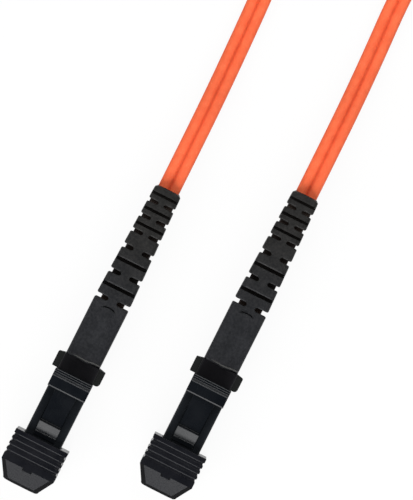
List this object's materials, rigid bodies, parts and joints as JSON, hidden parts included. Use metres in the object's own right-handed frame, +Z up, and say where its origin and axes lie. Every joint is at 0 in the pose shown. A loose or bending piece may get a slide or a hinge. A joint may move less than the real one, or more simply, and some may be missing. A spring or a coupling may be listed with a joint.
{
  "type": "mtrj fibre patch cord",
  "caption": "Duplex fibre patch cord with orange zip cord, black latched plugs in ribbed dust caps, slotted strain relief boots and a tied coil of spare cord.",
  "frame": {"origin": "on the table, under the middle of the box round the two plugs, without the free cord", "axes": "+Z up, +Y along the plugs from their noses towards the cord, +X across to plug b"},
  "size_m": [0.0495, 0.1701, 0.0097],
  "materials": {
    "cap_plastic": "satin black moulded",
    "housing_plastic": "satin black moulded",
    "shell_plastic": "satin black moulded",
    "boot_rubber": "matt black soft",
    "ferrule_resin": "fine moulded resin",
    "sleeve_rubber": "soft",
    "fibre_coating": "clear coated",
    "spring_steel": "drawn wire",
    "crimp_brass": "plain",
    "cord_jacket": "satin orange",
    "tie_strap": "woven"
  },
  "bodies": {
    "cord_and_plugs": {"plug_housing_a": "housing_plastic", "back_shell_a": "shell_plastic", "crimp_ring_a": "crimp_brass", "strain_relief_boot_a": "boot_rubber", "ferrule_spring_a": "spring_steel", "plug_housing_b": "housing_plastic", "back_shell_b": "shell_plastic", "crimp_ring_b": "crimp_brass", "strain_relief_boot_b": "boot_rubber", "ferrule_spring_b": "spring_steel", "cord_lead_a": "cord_jacket", "cord_lead_b": "cord_jacket", "cord_coil": "cord_jacket", "coil_tie": "tie_strap"},
    "cap_a": {"dust_cap_a": "cap_plastic"},
    "latch_a": {"latch_lever_a": "housing_plastic"},
    "ferrule_group_a": {"ferrule_a": "ferrule_resin", "ferrule_sleeve_a": "sleeve_rubber", "spring_seat_a": "housing_plastic", "fibre_pair_a": "fibre_coating"},
    "cap_b": {"dust_cap_b": "cap_plastic"},
    "latch_b": {"latch_lever_b": "housing_plastic"},
    "ferrule_group_b": {"ferrule_b": "ferrule_resin", "ferrule_sleeve_b": "sleeve_rubber", "spring_seat_b": "housing_plastic", "fibre_pair_b": "fibre_coating"}
  },
  "joints": [
    {"name": "cap_a_pull", "type": "slide", "parent": "cord_and_plugs", "child": "cap_a", "axis": [0, -1, 0], "range_m": [0, 0.0105]},
    {"name": "latch_a_press", "type": "hinge", "parent": "cord_and_plugs", "child": "latch_a", "pos_m": [-0.01125, -0.02482, 0.00692], "axis": [-1, 0, 0], "range_deg": [0, 4], "stiffness_Nm_per_rad": 0.02},
    {"name": "ferrule_a_float", "type": "slide", "parent": "cord_and_plugs", "child": "ferrule_group_a", "axis": [0, 1, 0], "range_m": [0, 0.0008], "stiffness_N_per_m": 500, "deforming": ["ferrule_spring_a"]},
    {"name": "cap_b_pull", "type": "slide", "parent": "cord_and_plugs", "child": "cap_b", "axis": [0, -1, 0], "range_m": [0, 0.0105]},
    {"name": "latch_b_press", "type": "hinge", "parent": "cord_and_plugs", "child": "latch_b", "pos_m": [0.01125, -0.01463, 0.00692], "axis": [-1, 0, 0], "range_deg": [0, 4], "stiffness_Nm_per_rad": 0.02},
    {"name": "ferrule_b_float", "type": "slide", "parent": "cord_and_plugs", "child": "ferrule_group_b", "axis": [0, 1, 0], "range_m": [0, 0.0008], "stiffness_N_per_m": 500, "deforming": ["ferrule_spring_b"]}
  ]
}
